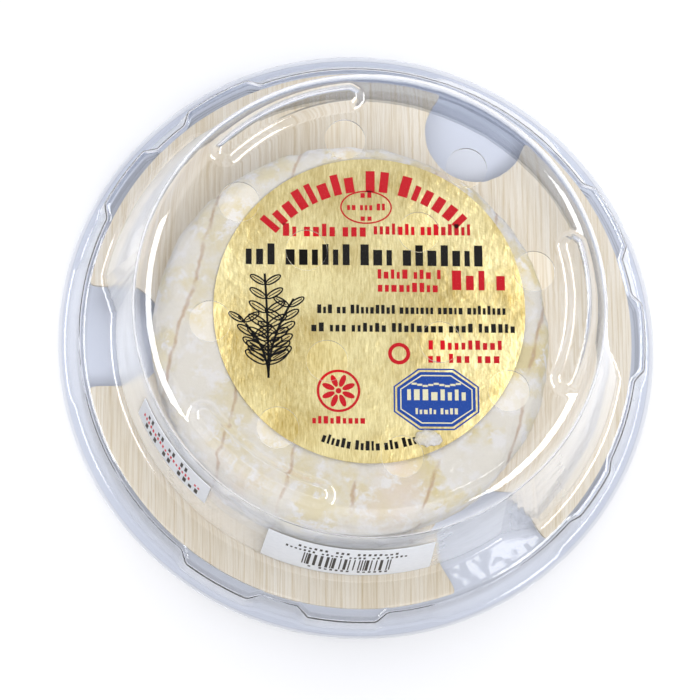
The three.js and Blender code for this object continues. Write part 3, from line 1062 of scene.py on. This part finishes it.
class PACK_OT_make_print(bpy.types.Operator):
    """Model the generic print on the foil: rows of plain blocks, a sprig, a blue badge and a red rosette"""

    bl_idname = "pack.make_print"
    bl_label = "Make print"

    def execute(self, context):
        low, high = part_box("gold_label")
        centre = (low + high) / 2
        tint = colours()
        for name, shapes, code in (
            ("red_print", self.red_shapes(), tint.red),
            ("black_print", self.black_shapes(), tint.black),
            ("blue_print", self.blue_shapes(), tint.blue),
        ):
            print_piece(name, shapes, centre, high.z, ink(f"Offset ink, {name.split('_')[0]}", code, 0.35))
        pale = ink("Offset ink, pale", linear("#efe6bd"), 0.4)
        print_piece("pale_print", self.pale_shapes(), centre, high.z + PRINT_THICK * MM * 0.8, pale)
        return {"FINISHED"}

    def red_shapes(self):
        rows = [
            *arc_of((8, 2, 6), 26.4, 92, 44.5, 4.3, 1),
            *line_of((2, 4, 3), -9.0, 14.9, 16.6, 2.6, 2),
            *line_of((7, 8), 10.6, 15.4, 19.4, 2.3, 3),
            *line_of((5, 3, 1), 7.9, 6.3, 12.6, 1.9, 4),
            *line_of((9,), 7.6, 3.6, 12.0, 1.9, 5),
            *line_of((3, 1), 21.8, 4.1, 10.6, 4.0, 6),
            *line_of((1, 9), 18.9, -8.1, 14.6, 1.9, 7),
            *line_of((2, 3, 3), 18.6, -10.8, 14.2, 1.9, 8),
            *line_of((9,), -6.4, -23.2, 10.4, 1.5, 9),
            *line_of((2,), -0.6, 23.0, 2.2, 1.3, 10),
            *line_of((2, 3, 2), -0.6, 20.4, 7.6, 1.4, 11),
            *line_of((2,), -0.6, 18.2, 2.2, 1.2, 12),
        ]
        return [
            copies_of(flat_block("row"), "red rows", rows),
            flat_oval("stamp", *STAMP, 10.4, 6.9, 0.3),
            flat_oval("ring", 5.7, -9.0, 4.4, 4.4, 0.75),
            *self.rosette(*ROSETTE, ROSETTE_WIDE),
        ]

    def rosette(self, x, y, wide):
        """A flower of eight petals in a ring."""
        petals = [
            flat_oval(
                "petal",
                x + 0.25 * wide * math.cos(math.radians(turn)),
                y + 0.25 * wide * math.sin(math.radians(turn)),
                0.3 * wide,
                0.13 * wide,
                turn=turn,
            )
            for turn in evenly(22.5, 8)
        ]
        heart = flat_oval("heart", x, y, 0.13 * wide, 0.13 * wide)
        return [*petals, heart, flat_oval("rim", x, y, wide, wide, 0.5)]

    def black_shapes(self):
        rows = [
            *line_of((3, 6, 3, 7), -1.0, 9.0, 47.4, 4.3, 21),
            *line_of((3, 2, 9, 7, 5, 8), 8.3, -0.9, 37.6, 1.8, 22),
            *line_of((2, 3, 6, 8, 4, 6), 8.6, -4.6, 40.6, 1.8, 23),
            *arc_of((6, 5, 3, 4), 27.6, -90, 19.6, 1.9, 24, up=-1),
        ]
        return [copies_of(flat_block("row"), "black rows", rows), *self.sprig(*SPRIG)]

    def sprig(self, x, y):
        """A line-drawn sprig: three bent stems with paired leaves, by (lean, height, pairs) of each."""
        shapes = []
        for lean, tall, pairs in ((-0.06, 21.0, 6), (0.42, 16.0, 5), (-0.5, 12.5, 4)):
            sweep = lean * STEM_REACH
            stem = []
            for k in range(STEM_STEPS):
                share = (k + 0.5) / STEM_STEPS
                turn = -math.degrees(math.atan(2 * sweep * share / tall))
                place = (x + sweep * share * share, y + tall * share)
                stem.append((*place, turn, SPRIG_LINE * 1.4, tall / STEM_STEPS * 1.15))
            shapes.append(copies_of(flat_block("stem"), "stem", stem))
            for k in range(pairs):
                share = 0.22 + 0.68 * k / (pairs - 1)
                foot = (x + sweep * share * share, y + tall * share)
                shapes += self.leaf_pair(*foot, 5.6 - 2.2 * share)
        return shapes

    def leaf_pair(self, x, y, long):
        """Two outlined leaves with a vein each, one on each side of the stem."""
        shapes = []
        for side in (-1, 1):
            turn = 90 - side * 58
            middle = (x + side * 0.5 * long * 0.85, y + 0.5 * long * 0.53)
            shapes.append(flat_oval("leaf", *middle, long, long * 0.4, SPRIG_LINE, turn))
            vein = [(*middle, turn - 90, SPRIG_LINE * 0.6, long * 0.7)]
            shapes.append(copies_of(flat_block("vein"), "vein", vein))
        return shapes

    def blue_shapes(self):
        return [
            flat_oval("badge", *BADGE, 15.6, 11.0, corners=8),
            flat_oval("edge", *BADGE, 17.0, 12.4, 0.3, corners=8),
        ]

    def pale_shapes(self):
        rows = [
            *line_of((8,), BADGE[0], -18.4, 11.6, 2.2, 31),
            *line_of((5, 4), BADGE[0], -21.2, 8.4, 1.2, 32),
        ]
        waves = [(BADGE[0] + 1.1 * k, -15.3 + 0.22 * math.cos(k * 1.6), 0, 1.0, 0.4) for k in range(-4, 5)]
        return [
            copies_of(flat_block("row"), "pale rows", rows + waves),
            flat_oval("rim", *BADGE, 14.4, 9.8, 0.24, corners=8),
        ]


def wall_radius(height):
    """Outer radius of the dome's wall at a height."""
    s = pack_sizes()
    return s.foot - (height - s.foot_top) * math.tan(s.wall_lean)


def wall_patch(name, low, high, span, lift):
    """A patch on the dome's wall, centred on direction 0: one upright edge, spun round the axis."""
    clear_choice()
    bpy.ops.mesh.primitive_plane_add(size=2 * MM, enter_editmode=True)
    pick(lambda co: co.x < 0)
    bpy.ops.mesh.delete(type="VERT")
    for side, height in ((-1, low), (1, high)):
        pick(lambda co: co.y * side > 0)
        goal = Vector((wall_radius(height * MM) + lift * MM, 0, height * MM))
        bpy.ops.transform.translate(value=goal - Vector((1, side, 0)) * MM)
    bpy.ops.mesh.select_all(action="SELECT")
    steps = max(1, round(span))
    bpy.ops.mesh.spin(steps=steps, angle=math.radians(span), center=(0, 0, 0), axis=(0, 0, 1))
    leave_edit()
    patch = bpy.context.object
    patch.name = name
    wrapped_middle = math.radians(mean_direction(patch))
    patch.rotation_euler.z = -wrapped_middle
    apply_place(patch)
    return patch


def mean_direction(piece):
    """Direction of a patch's middle, in degrees."""
    total = sum((corner.co for corner in piece.data.vertices), Vector())
    return math.degrees(math.atan2(total.y, total.x))


def wall_copies(name, low, high, span, lift, turns):
    """The same patch at several directions round the wall."""
    return copies_of(wall_patch(name, low, high, span, lift), name, [(0, 0, turn, 1, 1) for turn in turns])


def wall_piece(name, patches, thick, finish, node=None):
    piece = join(patches, name)
    flip_faces(piece, lambda normal, middle: normal.dot(Vector((middle.x, middle.y, 0))) < 0)
    apply_modifier(piece, "Thickness", "SOLIDIFY", thickness=thick * MM, offset=1)
    finish_piece(piece, finish, node)
    return piece


class PACK_OT_make_stickers(bpy.types.Operator):
    """Model the barcode sticker and the date strip on the dome's wall, with plain bars and blocks"""

    bl_idname = "pack.make_stickers"
    bl_label = "Make stickers"

    def execute(self, context):
        paper = shared_material(label_paper)
        printed = ink("Thermal print", linear("#3a342f"), 0.5)
        stamped = ink("Stamping ink, red", linear("#d8404a"), 0.5)
        self.lift = STICKER_LIFT + STICKER_THICK * 0.9
        for name, node, centre, span, low, high in (
            ("barcode_paper", "barcode_sticker", BARCODE_MIDDLE, 39.8, 10.2, 28.2),
            ("date_paper", "date_sticker", DATE_MIDDLE, 26.4, 19.0, 30.5),
        ):
            sheet = wall_copies(name, low, high, span, STICKER_LIFT, [centre])
            wall_piece(name, [sheet], STICKER_THICK, paper, node)
        wall_piece("barcode_print", self.barcode(BARCODE_MIDDLE), STICKER_INK, printed)
        wall_piece("date_print", self.date_rows(DATE_MIDDLE), STICKER_INK, printed)
        wall_piece("date_line", self.date_line(DATE_MIDDLE), STICKER_INK, stamped)
        return {"FINISHED"}

    def row(self, low, high, start, end, words, seed):
        """A row of blocks, some of them lower, with gaps between words, from one direction to another."""
        total = sum(words) + len(words) - 1
        step = (end - start) / total
        turns, at = [], 0
        for count in words:
            turns += [start + step * (at + k + 0.5) for k in range(count)]
            at += count + 1
        draw = random.Random(seed)
        short = [turn for turn in turns if draw.random() < 0.35]
        tall = [turn for turn in turns if turn not in short]
        rows = [wall_copies("row", low, high, step * 0.5, self.lift, tall)]
        if short:
            rows.append(wall_copies("row", low, low + 0.7 * (high - low), step * 0.5, self.lift, short))
        return rows

    def barcode(self, centre):
        """Two rows of blocks, bars of two widths, and a row of small blocks under them."""
        draw = random.Random(7)
        thin, thick, at = [], [], centre - 10.2
        while at < centre + 11.0:
            wide = draw.random() < 0.3
            (thick if wide else thin).append(at)
            at += draw.choice((0.62, 0.8, 1.15)) + (0.3 if wide else 0)
        return [
            wall_copies("thin", 13.8, 21.5, 0.3, self.lift, thin),
            wall_copies("thick", 13.8, 21.5, 0.66, self.lift, thick),
            *self.row(24.6, 26.0, centre - 12.4, centre + 11.6, (6, 3, 8), 41),
            *self.row(22.3, 23.6, centre - 15.2, centre + 13.8, (7, 5, 4, 2, 5), 42),
            *self.row(12.2, 13.3, centre - 9.0, centre + 10.0, (1, 6, 6), 43),
        ]

    def date_rows(self, centre):
        return [
            *self.row(26.2, 28.8, centre - 10.0, centre + 6.5, (2, 2, 2, 2), 51),
            *self.row(20.2, 22.8, centre - 10.0, centre + 11.0, (3, 2, 4), 52),
        ]

    def date_line(self, centre):
        return self.row(23.7, 25.3, centre - 11.5, centre + 11.0, (18, 2), 53)


def soft_light(name, azimuth, elevation, distance, wide, high, radiance, tint="#ffffff"):
    """A rectangular softbox that faces the pack, by where it stands and how bright its face is."""
    lamp = bpy.data.lights.new(name, "AREA")
    lamp.shape = "RECTANGLE"
    lamp.size, lamp.size_y = wide, high
    lamp.energy = radiance * wide * high * math.pi
    lamp.color = linear(tint)
    box = bpy.data.objects.new(name, lamp)
    bpy.context.scene.collection.objects.link(box)
    a, e = math.radians(azimuth), math.radians(elevation)
    away = Vector((math.cos(a) * math.cos(e), math.sin(a) * math.cos(e), math.sin(e)))
    box.location = away * distance
    box.rotation_euler = away.to_track_quat("Z", "Y").to_euler()
    return box


class PACK_OT_set_stage(bpy.types.Operator):
    """Set the floor, the lights and the camera"""

    bl_idname = "pack.set_stage"
    bl_label = "Set stage"

    def execute(self, context):
        clear_choice()
        bpy.ops.mesh.primitive_plane_add(size=4, location=(0, 0, -0.02 * MM))
        floor = bpy.context.object
        floor.name = "floor"
        floor.data.materials.append(pale_card())
        for lamp in (
            soft_light("key_front", -72, 66, 1.3, 0.6, 0.6, 9.5),
            soft_light("rear_fill", 96, 52, 1.2, 1.0, 1.0, 2.3),
        ):
            lamp.visible_glossy = lamp.visible_transmission = False
        for strip in (
            soft_light("left_strip", 172, 36, 0.95, 0.85, 0.34, 9),
            soft_light("right_strip", -4, 36, 0.95, 1.6, 0.36, 9),
            soft_light("glare_card", 33, 79.2, 1.2, 0.055, 0.035, 3.2),
        ):
            strip.visible_diffuse = False
        self.set_world()
        self.set_camera()
        self.set_picture()
        return {"FINISHED"}

    def set_world(self):
        """A white studio round the pack: cooler behind it, and dark where its flat top would mirror it."""
        world = bpy.data.worlds.new("Studio")
        bpy.context.scene.world = world
        world.use_nodes = True
        world.cycles.sampling_method = "NONE"
        tree = world.node_tree
        away = add(tree, "TexCoord").outputs["Generated"]
        place = add(tree, "SeparateXYZ", {0: away}).outputs
        share = add(tree, "MapRange", {"Value": place[2], "From Min": 0.0, "From Max": 0.98}).outputs[0]
        rear = add(tree, "MapRange", {"Value": place[1], "From Min": -0.7, "From Max": 0.3}).outputs[0]
        front_colour, rear_colour, zenith = (0.74, 0.73, 0.72, 1), (0.54, 0.62, 0.9, 1), (0.97, 0.98, 1, 1)
        rim = add(tree, "Mix", {0: rear, 6: front_colour, 7: rear_colour}, data_type="RGBA").outputs[2]
        sky = add(tree, "Mix", {0: share, 6: rim, 7: zenith}, data_type="RGBA").outputs[2]
        beside = add(tree, "VectorMath", {0: away, 1: DARK_CEILING}, operation="DOT_PRODUCT")
        edges = {"Value": beside.outputs["Value"], "From Min": 0.9, "From Max": 0.975, "To Max": 0.85}
        dark = add(tree, "MapRange", edges, interpolation_type="SMOOTHSTEP").outputs[0]
        dimmed = add(tree, "Mix", {0: dark, 6: sky, 7: (0, 0, 0, 1)}, data_type="RGBA").outputs[2]
        seen = {"Color": dimmed, "Strength": self.world_strength(tree)}
        feed(tree, tree.nodes["Background"], seen)

    def world_strength(self, tree):
        """Strong in what the foil mirrors through the sheet, weaker in the sheet's own mirroring, and
        weakest as plain light."""
        path = add(tree, "LightPath").outputs
        depths = {0: path["Transmission Depth"], 1: path["Transparent Depth"]}
        crossed = add(tree, "Math", depths, operation="ADD").outputs[0]
        inside = add(tree, "Math", {0: crossed, 1: 0.5}, operation="GREATER_THAN").outputs[0]
        on_foil = add(tree, "Math", {0: inside, 1: path["Is Glossy Ray"]}, operation="MULTIPLY").outputs[0]
        seen = add(tree, "MapRange", {"Value": on_foil, "To Min": 0.5, "To Max": 1.1}).outputs[0]
        strengths = {0: path["Is Diffuse Ray"], 2: seen, 3: 0.42}
        return add(tree, "Mix", strengths, data_type="FLOAT").outputs[0]

    def set_camera(self):
        """A long lens, 13 degrees off straight down, aimed just short of the pack's axis."""
        tilt, azimuth, distance = math.radians(13.4), math.radians(-108.29), 0.56
        axis = Vector((-math.sin(azimuth), math.cos(azimuth), 0))
        aim = Vector((-1.594, -1.588, -0.478)) * MM
        lens = bpy.data.cameras.new("camera")
        lens.sensor_width = 36
        lens.lens = 136
        lens.clip_start = 0.01
        camera = bpy.data.objects.new("camera", lens)
        bpy.context.scene.collection.objects.link(camera)
        turn = Matrix.Rotation(tilt, 4, axis)
        camera.matrix_world = Matrix.Translation(aim) @ turn @ Matrix.Translation((0, 0, distance))
        bpy.context.scene.camera = camera

    def set_picture(self):
        scene = bpy.context.scene
        scene.view_settings.view_transform = "Standard"
        scene.cycles.max_bounces = 20
        scene.cycles.transmission_bounces = 16
        scene.cycles.transparent_max_bounces = 32
        scene.cycles.glossy_bounces = 6
        scene.cycles.diffuse_bounces = 3
        scene.cycles.caustics_reflective = False


class PACK_PT_panel(bpy.types.Panel):
    """Lists the sizes, the colours and the steps"""

    bl_label = "Cheese pack"
    bl_space_type = "VIEW_3D"
    bl_region_type = "UI"
    bl_category = "Cheese pack"

    def draw(self, context):
        scene = context.scene
        for group in (scene.pack_sizes, scene.cheese_sizes, scene.pack_colours):
            box = self.layout.box()
            for key in group.bl_rna.properties.keys():
                if key not in ("rna_type", "name"):
                    box.prop(group, key)
        for step in STEPS:
            self.layout.operator(step.bl_idname)


STEPS = (
    PACK_OT_make_lid,
    PACK_OT_make_tray,
    PACK_OT_make_plate,
    PACK_OT_make_cheese,
    PACK_OT_make_label,
    PACK_OT_make_fleck,
    PACK_OT_make_print,
    PACK_OT_make_stickers,
    PACK_OT_set_stage,
)


def register():
    for made in (PackSizes, CheeseSizes, PackColours, *STEPS, PACK_PT_panel):
        bpy.utils.register_class(made)
    bpy.types.Scene.pack_sizes = PointerProperty(type=PackSizes)
    bpy.types.Scene.cheese_sizes = PointerProperty(type=CheeseSizes)
    bpy.types.Scene.pack_colours = PointerProperty(type=PackColours)


def unregister():
    del bpy.types.Scene.pack_colours
    del bpy.types.Scene.cheese_sizes
    del bpy.types.Scene.pack_sizes
    for made in (PACK_PT_panel, *reversed(STEPS), PackColours, CheeseSizes, PackSizes):
        bpy.utils.unregister_class(made)


def main():
    register()
    for step in STEPS:
        group, action = step.bl_idname.split(".")
        getattr(getattr(bpy.ops, group), action)()


if __name__ == "__main__":
    main()
